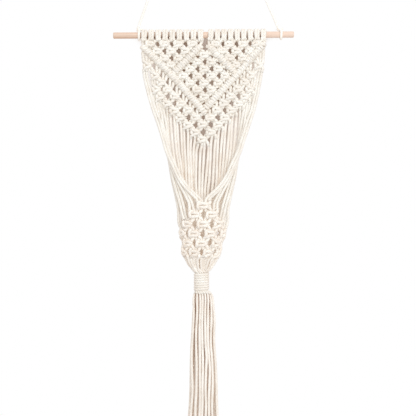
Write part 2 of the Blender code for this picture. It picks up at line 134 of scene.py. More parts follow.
# The twenty strands that hang behind the pocket, from left to right: the columns of each at these rows, and how far
# it lies behind its neighbours at the two rows after. A strand that lies behind shows only as a shaded line.
BACK_ROWS = (150, 158, 165, 172, 180, 188, 212, 230, 246, 258)
BEHIND_ROWS = (150, 180)
BACK_STRANDS = (
    ((173.2, 174.4, 175.6, 176.6, 178, 180, 186.5, 189.5, 193.6, 198), 1, 3),
    ((176.4, 177.6, 178.9, 179.9, 181.6, 183.6, 188.5, 191, 194.6, 198.6), 0.5, 2),
    ((178.9, 180.1, 180.9, 181.6, 182.8, 184.6, 189.6, 191.9, 195.2, 199.2), 0, 2),
    ((182.2, 183, 183.5, 184, 184.6, 186, 191, 193, 196, 199.8), 3, 8),
    ((184.8, 185.4, 185.9, 186.1, 186.4, 187, 192.6, 194.2, 196.8, 200.4), 0, 0),
    ((188, 188.3, 188.7, 189, 189.3, 189.6, 194, 195.3, 197.6, 201), -0.5, -0.5),
    ((190.5, 190.8, 191.2, 191.5, 191.8, 192, 195.4, 196.6, 198.6, 201.4), 0, 0.3),
    ((193.6, 193.7, 193.8, 194, 194.4, 194.8, 197.2, 198.2, 199.6, 201.9), 0, 4.5),
    ((196.5, 196.4, 196.2, 196.1, 196.1, 196.3, 198.2, 199.4, 200.4, 202), -0.5, -0.5),
    ((200.6, 200.2, 199.9, 199.7, 199.6, 199.4, 199.9, 200.4, 201.2, 202.6), 0.5, 0),
    ((204.2, 203.9, 203.4, 202.9, 202.6, 202.2, 202.4, 202.4, 202.8, 203.2), 0.5, 0),
    ((208.6, 208.2, 207.4, 206.7, 206, 205.2, 204.9, 204.4, 204, 203.8), 2, 0),
    ((210.8, 210.6, 210.2, 209.8, 209.4, 208.4, 207.4, 206.4, 205.2, 204), -0.5, -0.5),
    ((214.6, 214.3, 213.9, 213.5, 213.1, 212.4, 209.6, 207.8, 206, 204.4), -0.3, -0.3),
    ((217.6, 217.4, 217.1, 217, 216.8, 216, 211.4, 208.8, 206.8, 204.9), 0, 0),
    ((221, 220.6, 220.2, 219.9, 219.7, 218.4, 213.6, 210.6, 207.8, 205.4), 1.5, 8),
    ((224.2, 223.7, 223.1, 222.6, 222.1, 220.8, 215.6, 212, 208.6, 205.8), 0.5, 1.5),
    ((227.6, 226.8, 226, 225.2, 224.4, 222.8, 216.8, 213, 209.2, 206.2), 0, 2),
    ((230.7, 229.8, 228.8, 227.8, 226.6, 224.8, 218.6, 214.4, 210, 206.6), 0, 3),
    ((233.8, 232.6, 231.4, 230.2, 228.8, 226.8, 220.5, 215.5, 210.6, 207), 0.5, 4),
)
# Where each pair of them leaves its knot in the left half, as column and row, and the columns between the two.
BACK_STARTS = ((172.3, 116.2), (178.9, 123.2), (186.0, 130.5), (193.2, 137.8), (200.2, 145.0))
START_APART = 4.0
START_CLEAR = 4  # rows below that before the strand's own columns hold
BACK_FORWARD = (  # how far forward of the panel's middle they lie, at these rows
    (116, 0), (146, -1), (158, -2), (170, -3), (194, -3.6), (212, -3.8), (230, -3.4), (246, -2), (258, -1),
)
BACK_JOINS = (240, 0.5)  # from this row down, where all strands come together, it is this share of that
BACK_THICK, BACK_END_THICK = 0.87, 0.8

# The pocket's half-oval sections: height, middle, half width, depth, back.
POCKET_SECTIONS = (
    (-552.8, 4.2, 38, 21, -10.4), (-569.6, 4.2, 38, 23, -10.4), (-592, 3.8, 36.5, 24, -10.4),
    (-608, 2.8, 36, 23.5, -10.4), (-622.4, 1.6, 33, 22, -10.4), (-633.6, 0.8, 30.6, 20, -10.4),
    (-642, 0.6, 27.8, 17.8, -10.3), (-653, 0.8, 21.8, 14.5, -10), (-659.2, 0.9, 17.6, 12.8, -9.8),
    (-666, 0.8, 13.6, 11.4, -9.5),
)
POCKET_STRANDS = 16
POCKET_COLUMNS = 24  # round the half oval
NET_INSIDE = 4.0  # the net's middle surface, in from the outer one
# Its six rows of knots: height, and the first of each knot's four strands.
POCKET_ROWS = (
    (-559.4, (7,)), (-574, (5, 9)), (-588.8, (3, 7, 11)), (-603.4, (1, 5, 9, 13)), (-618.6, (3, 7, 11)),
    (-633.4, (1, 5, 9, 13)),
)
POCKET_KNOT = (1.28, 1.06)  # height and thickness of its knots
POCKET_KNOT_REACH = 1.72  # columns from a knot's middle to its side
POCKET_KNOT_WIDEST = 1.32
TOP_KNOT_WIDER = 1.14
EDGE_ROW = 4
EDGE_STRANDS = ((1, 1), (2, 2.6), (15, 21.4), (16, 23))  # not knotted in that row: place in the net, column
# The cone below the last knots: height, how far inside, thickness. Then where each four strands run down it, and each
# strand of the four, as columns from there and further inside.
CONE = ((-643.5, 3.0, 0.94), (-654.0, 2.4, 0.86), (-661.6, 2.2, 0.74))
CONE_FOURS = (2.4, 7.8, 13.8, 20)
CONE_STRANDS = ((-1.9, 0), (-0.7, 2.2), (0.7, 2.2), (1.9, 0))

WRAP_X, WRAP_Y = 0.8, -9.5
WRAP_TOP, WRAP_BOTTOM = -665.8, -694.6
WRAP_TURNS = 7
WRAP_RADIUS = 10.3
WRAP_CORD = 2.15  # its cord's radius
WRAP_STEPS = 16  # to a turn
WRAP_ENDS = (1.5, 0.5)  # from the wrap's top down to the first turn, and from the last turn down to its bottom
WRAP_TUCK = (4.0, 6.0, 3.0)  # where the ends are tucked in: sideways, backwards, in from the top or bottom
# The neck inside the wrap: radius, height, thickness.
NECK = (
    (12.4, -665.2, 0.66), (9.2, -669, 0.55), (8, -680, 0.55), (8.4, -692, 0.56), (10.8, -695.6, 0.74),
)
# The tassel: height, middle, half width, half depth, thickness of the strands.
TASSEL_LEVELS = (
    (-699.2, 1, 12.2, 10.6, 0.74), (-712, 2, 14.6, 12.2, 0.8), (-737.6, 2.9, 17.8, 14.2, 0.92),
    (-780.8, 2.9, 20.1, 15.3, 0.98), (-811, 2.6, 20.8, 16, 0.98), (-856, 3, 23.4, 17, 0.98),
    (-896, 3.2, 25.4, 18, 0.98), (-950, 3.2, 26.6, 18.6, 0.98), (-996, 3.2, 27.2, 19, 0.98),
)
TASSEL_TOP, TASSEL_BOTTOM = -699.2, -997.0
TASSEL_STEP = 12.0
UNEVEN = 3.0  # how far up or down an end is cut
LOOSE_AFTER = 60.0  # below the wrap, the strands wave as much as they ever do
WAVE_LENGTH, WAVE_SIZE = (60, 200), (0.3, 0.8)
WAVE_SIDEWAYS = 0.6  # share of a wave that shows from the front
RING_SHARES = (0.87, 0.5, 0.2)  # the rings of strands in the neck and tassel, outermost first
FRONT_TURN = 22.5  # degrees from one front strand of a ring to the next
BACK_TURNS = (18, 30)  # the same behind, for the outer and the middle ring
INNERMOST = (-45, -90)  # the innermost ring's first strand, and the turn to the next
FRONT_RINGS = (0, 1, 0, 1, 0, 1, 0, 0, 1, 0, 1, 0, 1, 0, 1, 1)
BACK_RINGS = (0, 1, 0, 1, 0, 0, 1, 2, 0, 2, 2, 0, 2, 1, 0, 0, 1, 0, 1, 0)
# The tassel's front strands, from left to right: the columns of each at these rows.
FRONT_ROWS = (293, 300, 310, 327, 343, 354, 364, 377, 389, 402, 416, 480)
FRONT_STRANDS = (
    (194.8, 193.7, 193.9, 193.2, 192.5, 192.2, 192.3, 192.6, 192.6, 191.4, 190.4, 189.4),
    (197.3, 197, 197.5, 196.8, 196.2, 196.2, 196.4, 196.7, 197, 196, 195.4, 194),
    (199.9, 200.7, 200.9, 200.3, 199.9, 199.8, 199.8, 199.8, 200.2, 200.3, 199.9, 198.4),
    (202.4, 202.9, 202.3, 201.8, 202, 202.8, 203, 202.6, 202.2, 202.8, 202, 201.8),
    (205, 205.4, 204.9, 205, 206.4, 207.2, 206.6, 205.9, 205.4, 205.8, 205.3, 205.6),
    (207.4, 208.1, 208, 207.8, 207.6, 208.9, 209.3, 209.2, 209.1, 208.6, 208.9, 209.6),
    (209.3, 210.9, 211.2, 211, 210.6, 211.4, 212.1, 212.4, 212.4, 211.9, 212.3, 213.6),
    (210.6, 212.4, 213.4, 213.9, 214.2, 214.7, 215.2, 215.6, 216, 216.4, 217, 217.6),
)

# A square knot round two straight cords: right, up and forward from its middle. The leader makes both bars in
# front. The follower crosses over each end of a bar and passes behind.
KNOT_LEADER = (
    (-7.2, 5.2, -0.6), (-6.3, 3.8, 0.6), (-3.6, 2.6, 3.7), (0, 2.2, 4.7), (3.5, 2, 3.7), (5.5, 1.4, 1),
    (6, 0, -0.6), (5.5, -1.4, 1), (3.5, -2, 3.7), (0, -2.2, 4.7), (-3.6, -2.6, 3.7), (-6.2, -3.9, 0.6),
    (-7.1, -5.2, -0.3),
)
KNOT_FOLLOWER = (
    (7, 5.3, 1), (6.6, 3.7, 3.1), (5.6, 1.8, 3.5), (4.6, 0.3, 0.5), (3, 0.9, -3.4), (0, 2.2, -4.1),
    (-3.2, 3.8, -3.1), (-4.9, 4.6, 0.4), (-5.8, 2.9, 3.4), (-5.7, 0, 3.9), (-5.8, -2.9, 3.4), (-4.8, -4.7, 0.5),
    (-3, -4, -3.1), (0, -2.4, -4.1), (3, -1, -3.4), (4.6, -0.4, 0.5), (5.6, -1.8, 3.5), (6.6, -3.7, 3),
    (7, -5.3, 0.7),
)
KNOT_CORE = ((0, 4.4, 0), (0, 0, 0), (0, -4.4, 0))
CORE_APART = 2.3
KNOT_STRANDS = (  # from left to right: route, how far to the right, thickness
    (KNOT_LEADER, 0, 1), (KNOT_CORE, -CORE_APART, 0.86), (KNOT_CORE, CORE_APART, 0.86), (KNOT_FOLLOWER, 0, 0.95),
)
KNOT_REACH = 5.6  # from the knot's middle to its side
KNOT_WOBBLE = (0.35, 0.3, 0.3)  # handwork's unevenness: right, up and forward

# Two half hitches round a holding cord: along it, up and forward.
HALF_HITCHES = (
    (-1.6, 6, -2.4), (-2.3, 2.4, -3.5), (-2.7, -0.8, -3.6), (-2.7, -3.5, 0.2), (-2.1, 0, 3.8), (-1.2, 3.6, 0.3),
    (0, 0.3, -3.8), (1.1, -3.5, 0.2), (2.1, 0, 3.8), (2.7, 3.6, 0.2), (2.5, 0.2, -3.7), (1.5, -3.8, -1.6),
    (1, -6, -0.8),
)
HITCH_WIDTH = 8.2  # of the two, along the holding cord
HITCH_THICK, HOLDER_THICK = 0.98, 0.8
BEND_SPAN = 4.0  # each way along a holding cord, to find its direction

# How the strands settle. They move freely between these heights, but are held by the stick and in the wrap.
FREE_HEIGHTS = ((-655.0, -292.5), (-2000.0, -701.0))
SETTLE_ROUNDS, QUICK_ROUNDS = 14, 2
NEIGHBOURS = 4  # steps along one strand that are too near each other to count as touching
WIDEST_TOUCH = 2 * CORD * 0.96
TOUCH = 0.88  # two cords pressed together are this share of their radii apart
PUSH, LONGEST_PUSH = 0.3, 0.8  # share of an overlap that is mended each round, and the most in millimetres
STIFFNESS, HOLD = 0.1, 0.03  # how strongly a strand keeps straight, and keeps its place


# ---- the strands' lines
PANEL = "knotted_panel"


def spot(column, row, forward=0.0):
    """A place on the chart, and so far in front of the panel's middle, in millimetres in the frame."""
    return np.array(((column - HOOK[0]) * SQUARE, PANEL_Y - forward, -(row - HOOK[1]) * SQUARE))


def dowel_z(x):
    return DOWEL_MIDDLE[1] + (x - DOWEL_MIDDLE[0]) * DOWEL_TILT


def level(table, value):
    """The other columns of the table at this value of its first, worked out between its rows."""
    rows = np.array(sorted(table))
    return [float(np.interp(value, rows[:, 0], column)) for column in rows.T[1:]]


def lengths_along(points):
    """How far along the line each point lies."""
    return np.concatenate(([0.0], np.cumsum(np.linalg.norm(np.diff(points[:, :3], axis=0), axis=1))))


def opposite(strand, side):
    """The strand itself, or on the right its opposite."""
    return strand if side == "left" else OPPOSITE - strand


class Line:
    """One strand's places in order, each with its thickness and the region that it belongs to."""

    def __init__(self):
        self.places, self.regions = [], []

    def lay(self, region, points, thick=1.0):
        for point in points:
            self.places.append((*point, thick))
            self.regions.append(region)


lines = {strand: Line() for strand in STRANDS}


def larks_head(row, first, column, pitch):
    """A folded cord on the stick: its bar in front, two legs over the stick, and both ends down behind the bar."""
    x = (column - HOOK[0]) * SQUARE
    axis, reach = dowel_z(x), DOWEL_RADIUS + PRESSED * CORD
    for strand, side in ((first, -1), (first + 1, 1)):
        leg = x + side * HALF_HEAD * pitch * SQUARE
        bar = axis - DOWEL_RADIUS - BAR_DROP + rng.uniform(-BAR_WOBBLE, BAR_WOBBLE)
        place = lambda start, height, step: (start + side * step[0], step[1], height + step[2])
        route = [place(x, bar, step) for step in HEAD_BAR]
        route += [place(leg, bar, HEAD_TURN), place(leg, axis, HEAD_START)]
        route += [(leg, -reach * cos(radians(a)), axis + reach * sin(radians(a))) for a in HEAD_ROUND]
        route += [place(leg, axis - reach, step) for step in HEAD_END]
        lines[strand].lay(row + "_mounting_knots", route)


def square_knot(four, region, middle, right=(1, 0, 0), up=(0, 0, 1), width=1.0, height=1.0, full=1.0):
    """Ties the four strands, which stand in order from left to right. Full is the thickness of their cord."""
    right, up = np.array(right, float), np.array(up, float)
    turn = np.array((right * width, up * height, np.cross(right, up)))
    middle = np.array(middle) + np.array([rng.uniform(-most, most) for most in KNOT_WOBBLE]) @ turn
    for strand, (route, shift, thick) in zip(four, KNOT_STRANDS):
        lines[strand].lay(region, middle + (np.array(route) + (shift, 0.0, 0.0)) @ turn, thick * full)


def hitch_line(holder, others, corners):
    """The holder runs along the corners, and each of the others is hitched on it twice."""
    path = np.array([spot(column, row, RIDGE) for column, row in corners])
    run = lengths_along(path)
    place = lambda s: np.array([np.interp(s, run, axis) for axis in path.T])
    pitch = run[-1] / len(others)
    for index, strand in enumerate(others):
        s = (index + 0.5) * pitch
        along = place(min(s + BEND_SPAN, run[-1])) - place(max(s - BEND_SPAN, 0.0))
        along /= np.linalg.norm(along)
        up = np.array((-along[2], 0.0, along[0]))
        up *= np.sign(up[2])
        turn = np.array((along * (pitch / HITCH_WIDTH), up, (0.0, -1.0, 0.0)))
        lines[strand].lay(PANEL, place(s) + np.array(HALF_HITCHES) @ turn, HITCH_THICK)
        lines[holder].lay(PANEL, [place(s)], HOLDER_THICK)


def upper_half(side):
    """One side's net of square knots, and the two diagonal lines of hitches below it."""
    column, pitch, row, rows = NETS[side]
    for tier in range(4):
        for knot in range(4 - tier):
            first = 2 + 2 * tier + 4 * knot
            four = sorted(opposite(strand, side) for strand in range(first, first + 4))
            square_knot(four, PANEL, spot(column + pitch * (knot + tier / 2), row + rows * tier))
    hitch_line(opposite(18, side), [opposite(strand, side) for strand in range(17, 9, -1)], INNER_LINES[side])
    hitch_line(opposite(1, side), [opposite(strand, side) for strand in range(2, 10)], OUTER_LINES[side][:2])


def centre_net():
    column, pitch, row, rows = CENTRE_NET
    strands = list(range(10, 18)) + list(range(20, 28))
    for strand, *place in CENTRE_TOP:
        lines[strand].lay(PANEL, [spot(*place)], CENTRE_TOP_THICK)
    for tier, count in enumerate(CENTRE_ROWS):
        for knot in range(count):
            first = 8 - 2 * count + 4 * knot
            place = spot(column + pitch * (knot - (count - 1) / 2), row + rows * tier)
            square_knot(strands[first:first + 4], PANEL, place)


def lower_band():
    """Two diagonal rows of square knots a side, which meet in the middle. It returns the strands from left to right."""
    for side in ("left", "right"):
        hitched = [opposite(strand, side) for strand in (18, *range(10, 18))]
        hitch_line(opposite(1, side), hitched, OUTER_LINES[side][1:])
    hitch_line(1, [36], MEETING_LINE)
    left = [*range(2, 10), 18, *range(10, 18)]
    order = left + [36, 1] + [OPPOSITE - strand for strand in reversed(left)]
    knots = []
    for band, start in ((UPPER_BAND, 1), (LOWER_BAND, 3)):
        for first, (column, row, width) in zip(range(start, 19, 2), band):
            knots.append((row, column, width, first))
            if first < 17:
                knots.append((row, 2 * MIRROR - column, width, 34 - first))
    wider, height = BAND_KNOT
    for row, column, width, first in sorted(knots):
        square_knot(order[first - 1:first + 3], PANEL, spot(column, row), width=width * wider, height=height)
    return order


def drift(row):
    return level(DRIFT, row)[0]


def crossing_pairs(order):
    """Below the band, four pairs a side cross in front to the pocket."""
    for side in ("left", "right"):
        for pair, route in enumerate(SIDE_PAIRS):
            for half in (0, 1):
                points = []
                for column, row, forward in route:
                    opens = level(PAIR_OPENS, row - route[0][1])[0] if pair else 0.0
                    column += (half - 0.5) * (level(PAIR_APART, row)[0] + opens) + 0.5 * opens
                    if side == "right":
                        column = 2 * MIRROR - column + level(RIGHT_LEAN, row)[0]
                    points.append(spot(column + drift(row), row, forward + 0.5 - half))
                place = 2 * pair + half
                lines[order[place if side == "left" else -1 - place]].lay(side + "_side_cords", points, SLACK)


def curtain(order):
    """The strands between them hang behind the pocket."""
    for place, (columns, *behind) in enumerate(BACK_STRANDS):
        pair, half = divmod(min(place, 19 - place), 2)
        column, start = BACK_STARTS[pair]
        column += (half - 0.5) * START_APART
        points = [spot(column if place < 10 else 2 * MIRROR - column, start)]
        for row, column in zip(BACK_ROWS, columns):
            if row > start + START_CLEAR:
                forward = level(BACK_FORWARD, row)[0] - float(np.interp(row, BEHIND_ROWS, behind))
                forward *= 1.0 if row < BACK_JOINS[0] else BACK_JOINS[1]
                points.append(spot(column + drift(row), row, forward))
        strand = lines[order[8 + place]]
        strand.lay("back_cords", points[:-1], BACK_THICK)
        strand.lay("back_cords", points[-1:], BACK_END_THICK)


def pocket_place(column, z, inside=NET_INSIDE):
    """A place on the pocket's half oval, with the directions right and up along it there."""
    def at(column, z):
        middle, width, depth, back = level(POCKET_SECTIONS, z)
        angle = pi * column / POCKET_COLUMNS - pi / 2
        return np.array((middle + (width - inside) * sin(angle), back - max(depth - inside, 1.0) * cos(angle), z))

    right = at(column + 0.5, z) - at(column - 0.5, z)
    up = at(column, z + 3) - at(column, z - 3)
    return at(column, z), right, up / np.linalg.norm(up)


def pocket(order):
    """The net of six rows in front, from the crossing pairs, outermost last. It returns them from left to right."""
    left = [order[place] for place in (6, 7, 4, 5, 2, 3, 0, 1)]
    right = [order[place] for place in (34, 35, 32, 33, 30, 31, 28, 29)]
    strands = left + right
    height, full = POCKET_KNOT
    for tier, (z, firsts) in enumerate(POCKET_ROWS):
        for first in firsts:
            place, right, up = pocket_place((first + 1) * POCKET_COLUMNS / POCKET_STRANDS, z)
            wide = min(np.linalg.norm(right) * POCKET_KNOT_REACH / KNOT_REACH, POCKET_KNOT_WIDEST)
            wide *= TOP_KNOT_WIDER if tier == 0 else 1.0
            right /= np.linalg.norm(right)
            square_knot(strands[first - 1:first + 3], "pocket_net", place, right, up, wide, height, full)
        if tier == EDGE_ROW:
            for place, column in EDGE_STRANDS:
                lines[strands[place - 1]].lay("pocket_net", [pocket_place(column, z)[0]])
    for index, strand in enumerate(strands):
        four, place = divmod(index, 4)
        offset, deeper = CONE_STRANDS[place]
        for z, inside, thick in CONE:
            lines[strand].lay("pocket_net", [pocket_place(CONE_FOURS[four] + offset, z, inside + deeper)[0]], thick)
    return strands


def gathered(front, back):
    """All strands run through the wrapped neck and down the tassel, in three rings."""
    for strands, rings, in_front in ((front, FRONT_RINGS, True), (back, BACK_RINGS, False)):
        seen = [0, 0, 0]
        for strand, ring in zip(strands, rings):
            slot, seen[ring] = seen[ring], seen[ring] + 1
            if ring == 2:
                angle = INNERMOST[0] + INNERMOST[1] * slot
            elif in_front:
                angle = -90 + (slot + 0.5) * FRONT_TURN
            else:
                angle = -90 - (slot + 0.5) * BACK_TURNS[ring]
            across, ahead = RING_SHARES[ring] * sin(radians(angle)), RING_SHARES[ring] * cos(radians(angle))
            for radius, z, thick in NECK:
                place = (WRAP_X + across * radius, WRAP_Y - ahead * radius, z)
                lines[strand].lay("gathering_knot", [place], thick)
            tassel_strand(strand, across, ahead, FRONT_STRANDS[slot] if in_front and ring == 0 else None)


def tassel_strand(strand, across, ahead, columns):
    """Down to its cut end. The columns, if any, are the strand's own."""
    waves = [(rng.uniform(*WAVE_LENGTH), rng.uniform(0, 2 * pi), rng.uniform(*WAVE_SIZE)) for _ in range(4)]
    bottom = TASSEL_BOTTOM + rng.uniform(-UNEVEN, UNEVEN)
    for z in [*np.arange(TASSEL_TOP, bottom, -TASSEL_STEP), bottom]:
        middle, width, depth, thick = level(TASSEL_LEVELS, z)
        loose = min(1.0, (TASSEL_TOP - z) / LOOSE_AFTER)
        sideways, forwards = (
            loose * sum(size * sin(2 * pi * z / length + phase) for length, phase, size in waves[first:first + 2])
            for first in (0, 2)
        )
        if columns:
            x = spot(float(np.interp(HOOK[1] - z / SQUARE, FRONT_ROWS, columns)), 0)[0]
            across = (x - middle) / width
            ahead = (max(0.0, RING_SHARES[0] ** 2 - across**2)) ** 0.5
        place = (middle + across * width + sideways * WAVE_SIDEWAYS, WRAP_Y - ahead * depth + forwards, z)
        lines[strand].lay("tassel", [place], thick * SLACK)


def knot_everything():
    for side, (first, column, pitch) in HEADS.items():
        for head in range(HEADS_IN_ROW):
            larks_head(side, first + 2 * head, column + pitch * head, pitch)
    for side in ("left", "right"):
        upper_half(side)
    centre_net()
    order = lower_band()
    crossing_pairs(order)
    curtain(order)
    gathered(pocket(order), order[8:28])


# ---- from lines to cord
def through(points, fine=FINE):
    """A smooth line through the points, fine steps from each to the next."""
    p = np.vstack((2 * points[:1] - points[1:2], points, 2 * points[-1:] - points[-2:-1]))
    reach = np.linalg.norm(np.diff(p[:, :3], axis=0), axis=1)[:, None] + 1e-6
    start, end, before, after = p[1:-2], p[2:-1], p[:-3], p[3:]
    length, length_before, length_after = reach[1:-1], reach[:-2], reach[2:]
    into = (end - before) * length / (length + length_before)
    out = (after - start) * length / (length + length_after)
    t = (np.arange(fine) / fine)[None, :, None]
    a, b, c, d = 2 * t**3 - 3 * t**2 + 1, t**3 - 2 * t**2 + t, -2 * t**3 + 3 * t**2, t**3 - t**2
    curve = start[:, None] * a + into[:, None] * b + end[:, None] * c + out[:, None] * d
    return np.vstack((curve.reshape(-1, points.shape[1]), points[-1:]))


def even(curve, step, marks=None):
    """The curve's points step apart, and the mark that each comes after."""
    run = lengths_along(curve)
    count = max(2, round(run[-1] / step))
    at = np.linspace(0, run[-1], count + 1)
    points = np.column_stack([np.interp(at, run, column) for column in curve.T])
    if marks is None:
        return points
    return points, marks[np.searchsorted(run, at, side="right").clip(1, len(run)) - 1]


def softened(points, rounds):
    """Rounds off what is too sharp for a cord."""
    for _ in range(rounds):
        points[1:-1] += 0.25 * (points[:-2] + points[2:] - 2 * points[1:-1])
    return points


def settle(cords, rounds):
    """Pushes the strands out of one another, as tight cords lie against each other and do not share a space."""
    places = np.vstack([cord[:, :3] for cord in cords])
    size = np.concatenate([cord[:, 3] * CORD for cord in cords])
    owner = np.concatenate([[i] * len(cord) for i, cord in enumerate(cords)])
    inner = np.flatnonzero(np.concatenate([np.arange(len(cord)) % (len(cord) - 1) > 0 for cord in cords]))
    z = places[:, 2]
    free = np.any([(z > low) & (z < high) for low, high in FREE_HEIGHTS], axis=0)
    first = places.copy()
    for _ in range(rounds):
        one, other = close_pairs(places, owner)
        gap = places[one] - places[other]
        distance = np.linalg.norm(gap, axis=1) + 1e-6
        overlap = (size[one] + size[other]) * TOUCH - distance
        hit = overlap > 0
        push = gap[hit] / distance[hit, None] * overlap[hit, None] * PUSH
        move = np.zeros_like(places)
        np.add.at(move, one[hit], push)
        np.add.at(move, other[hit], -push)
        move = np.clip(move, -LONGEST_PUSH, LONGEST_PUSH)
        move[inner] += STIFFNESS * (places[inner - 1] + places[inner + 1] - 2 * places[inner])
        move += HOLD * (first - places)
        places += move * free[:, None]
    start = 0
    for cord in cords:
        cord[:, :3] = places[start:start + len(cord)]
        start += len(cord)


def close_pairs(places, owner):
    """The numbers of the places that are near enough to touch, leaving out neighbours on one strand."""
    tree = KDTree(len(places))
    for i, place in enumerate(places):
        tree.insert(place, i)
    tree.balance()
    pairs = [
        (i, j) for i, place in enumerate(places) for _, j, _ in tree.find_range(place, WIDEST_TOUCH)
        if j > i and (owner[i] != owner[j] or j - i > NEIGHBOURS)
    ]
    return np.array(pairs).T


def crosswise(points):
    """For each point, two directions across the line that turn no more than it does."""
    ahead = np.gradient(points, axis=0)
    ahead /= np.linalg.norm(ahead, axis=1)[:, None]
    side = np.cross(ahead[0], (0.3, 0.9, 0.2))
    side /= np.linalg.norm(side)
    sides = []
    for direction in ahead:
        side = side - direction * side.dot(direction)
        side /= np.linalg.norm(side)
        sides.append(side)
    sides = np.array(sides)
    return sides, np.cross(ahead, sides)


def swept(points, radii, sides, phase, start):
    """Twisted cord along the points, as (corners, faces, corner values): its plies turn once every LAY."""
    side, other = sides
    run = start + lengths_along(points)
    around = 2 * pi * np.arange(SIDES) / SIDES
    crest = 0.5 + 0.5 * np.cos(PLIES * around)
    reach = radii[:, None] * (1 - PLY_DEPTH * (1 - crest) + CREST_RISE)[None, :]
    angle = phase + 2 * pi * run[:, None] / LAY + around[None, :]
    outwards = side[:, None] * np.cos(angle)[..., None] + other[:, None] * np.sin(angle)[..., None]
    rings = points[:, None] + outwards * reach[..., None]
    i, k = np.meshgrid(np.arange(len(points) - 1), np.arange(SIDES), indexing="ij")
    following = (k + 1) % SIDES
    corners = ((i, k), (i, following), (i + 1, following), (i + 1, k))
    quads = np.stack([ring * SIDES + place for ring, place in corners], axis=-1).reshape(-1, 4)
    values = np.stack([np.stack((crest[place], run[ring]), -1) for ring, place in corners], axis=-2).reshape(-1, 2)
    return rings.reshape(-1, 3), quads, values


def new_object(name, data):
    made = bpy.data.objects.new(name, data)
    bpy.context.scene.collection.objects.link(made)
    return made


def cord_piece(name, runs, finish, nodes):
    """One joined mesh of swept cords, which stands for the nodes."""
    corners, faces, values, tints = [], [], [], []
    base = 0
    for points, radii, sides, phase, start, tint in runs:
        rings, quads, flat = swept(points, radii, sides, phase, start)
        last = base + len(rings) - SIDES
        corners.append(rings)
        faces += (quads + base).tolist()
        faces += [[base + k for k in reversed(range(SIDES))], [last + k for k in range(SIDES)]]
        values += [flat, np.tile((CUT_END, start), (2 * SIDES, 1))]
        tints.append(np.full(len(rings), tint))
        base += len(rings)
    mesh = bpy.data.meshes.new(name)
    mesh.from_pydata((np.vstack(corners) * MM).tolist(), [], faces)
    plies = np.vstack(values) * (1.0, MM_TO_CM)
    mesh.uv_layers.new(name="plies").data.foreach_set("uv", plies.astype(np.float32).ravel())
    mesh.attributes.new("tint", "FLOAT", "POINT").data.foreach_set("value", np.concatenate(tints).astype(np.float32))
    mesh.polygons.foreach_set("use_smooth", [len(face) == 4 for face in faces])
    mesh.update()
    mesh.materials.append(finish)
    piece = new_object(name, mesh)
    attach(piece, "root")
    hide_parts(*nodes)


def all_strands(finish, painted_light_copies):
    """Sweeps every strand, cut where it passes from one region to the next. Some regions have a copy of the cotton with
    its own painted glow and painted shade.
    """
    knot_everything()
    cords, marks = [], []
    for line in lines.values():
        regions = np.repeat(np.array(line.regions), FINE)[:(len(line.places) - 1) * FINE + 1]
        curve, mark = even(through(np.array(line.places)), RING_STEP, regions)
        cords.append(softened(curve, 2))
        marks.append(mark)
    settle(cords, SETTLE_ROUNDS)
    runs = {}
    for cord, mark in zip(cords, marks):
        phase, tint = rng.uniform(0, 2 * pi), rng.uniform(0, 1)
        run = lengths_along(cord)
        cuts = [0] + [i for i in range(1, len(mark)) if mark[i] != mark[i - 1]] + [len(mark) - 1]
        side, other = crosswise(cord[:, :3])
        for first, last in zip(cuts, cuts[1:]):
            if last > first:
                part = slice(first, last + 1)
                stretch = (cord[part, :3], cord[part, 3] * CORD, (side[part], other[part]), phase, run[first], tint)
                runs.setdefault(str(mark[first]), []).append(stretch)
    runs["gathering_knot"].append(single_cord(wrap_line(), WRAP_CORD, tint=0.4))
    for region, parts in runs.items():
        cord_piece(region + "_cords", parts, painted_light_copies.get(region, finish), [region])
    print(f"strands: {sum(lengths_along(cord)[-1] for cord in cords) * MM:.1f} m")


def single_cord(curve, radii, tint=0.5):
    """A cord of its own, for cord_piece."""
    return curve, np.ones(len(curve)) * radii, crosswise(curve), 0.0, 0.0, tint


def wrap_line():
    """The gathering knot: seven turns of cord round the neck, both ends tucked in."""
    top, bottom = WRAP_TOP - WRAP_ENDS[0], WRAP_BOTTOM + WRAP_ENDS[1]
    count = WRAP_TURNS * WRAP_STEPS
    points = []
    for step in range(count + 1):
        angle = 2 * pi * step / WRAP_STEPS
        z = top + step / count * (bottom - top)
        points.append((WRAP_X + WRAP_RADIUS * sin(angle), WRAP_Y + WRAP_RADIUS * cos(angle), z))
    sideways, back, inside = WRAP_TUCK
    tuck_top = (WRAP_X - sideways, WRAP_Y + back, WRAP_TOP - inside)
    tuck_bottom = (WRAP_X + sideways, WRAP_Y + back, WRAP_BOTTOM + inside)
    return even(through(np.array([tuck_top, *points, tuck_bottom])), RING_STEP)


# ---- the hanging cord
HOOK_BEND = 8.0  # radius of the cord's middle line over the hook
LEG_STEPS = BEND_STEPS = 6
# The ties: place on the stick, and from there the knot's core, the knot's half height, where the cord enters it from
# above, from its core, and half the width of its loops.
TIES = {"left": (-99.7, -0.4, 3.2, -0.6, 2.9), "right": (128.4, -2.6, 3.4, -3.0, 3.5)}
KNOT_LIFT = 8.9  # from the stick's middle to the knot's
KNOT_CLEAR = 0.8  # from the knot up to where the straight leg ends
KNOT_THICK, TURN_THICK = 0.84, 0.98
# How the cord runs in a tie, as right of the core, y, and up from the stick's middle: down into the knot, and its
# free end. Between them it goes once round the stick, at these angles, and then in loops about its own leg: steps to
# a loop, number of steps, depth, foot, and rise a step.
KNOT_INTO = (0.4, 10.4)  # as a share of where it enters, and up
KNOT_DOWN = (0.3, -2.0, 8.2)
FREE_END = ((3.4, 1.4, 10.6), (4.6, 2.6, 8.6))
TURN = [radians(55 - 40 * step) for step in range(9)]
TURN_SHIFT, TURN_DRIFT = 0.3, 0.05  # of the turn along the stick, at its start and with each step
LOOPS = (6, 8, 2.9, 8.4, 0.45)
TIE_STEP = 1.2


